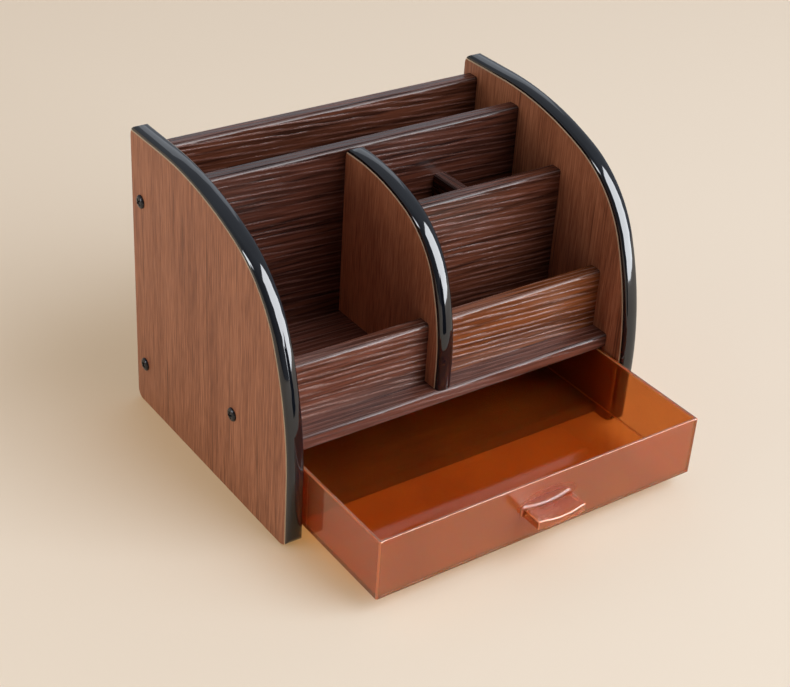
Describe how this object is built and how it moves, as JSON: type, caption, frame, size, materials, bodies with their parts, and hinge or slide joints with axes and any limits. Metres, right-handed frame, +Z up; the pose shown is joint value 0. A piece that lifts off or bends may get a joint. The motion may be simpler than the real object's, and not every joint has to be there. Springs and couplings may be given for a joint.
{
  "type": "desk organizer with drawer",
  "caption": "Desk organizer of laminated board with curved sides, a letter slot, upright bays for pens and notes, and a translucent pull-out drawer below.",
  "frame": {"origin": "on the surface under the base board, midway between the side panels and midway along their depth", "axes": "+X to the right seen from the front, +Y to the back, +Z up; the drawer pulls out along -Y"},
  "size_m": [0.2314, 0.2418, 0.1705],
  "materials": {
    "side_film": "satin red-brown wood-grain film on fibreboard, grain upright",
    "board_film": "satin dark wood-grain film on fibreboard, grain along the board",
    "black_trim": "glossy black flexible plastic",
    "amber_plastic": "glossy translucent amber-brown plastic",
    "black_screw": "black coated steel",
    "dowel_wood": "plain beech"
  },
  "bodies": {
    "carcass": {"left_side_panel": "side_film", "right_side_panel": "side_film", "left_edge_trim": "black_trim", "right_edge_trim": "black_trim", "centre_divider": "side_film", "centre_divider_trim": "black_trim", "back_panel": "board_film", "letter_panel": "board_film", "inner_panel": "board_film", "small_partition": "board_film", "left_front_rail": "board_film", "right_front_rail": "board_film", "shelf_board": "board_film", "base_board": "board_film", "side_screws": "black_screw", "side_dowels": "dowel_wood", "divider_dowels": "dowel_wood", "shelf_dowels": "dowel_wood", "cross_dowels": "dowel_wood"},
    "drawer": {"drawer_tray": "amber_plastic"}
  },
  "joints": [
    {"name": "drawer_slide", "type": "slide", "parent": "carcass", "child": "drawer", "axis": [0, -1, 0], "range_m": [-0.0715, 0.0485]}
  ]
}
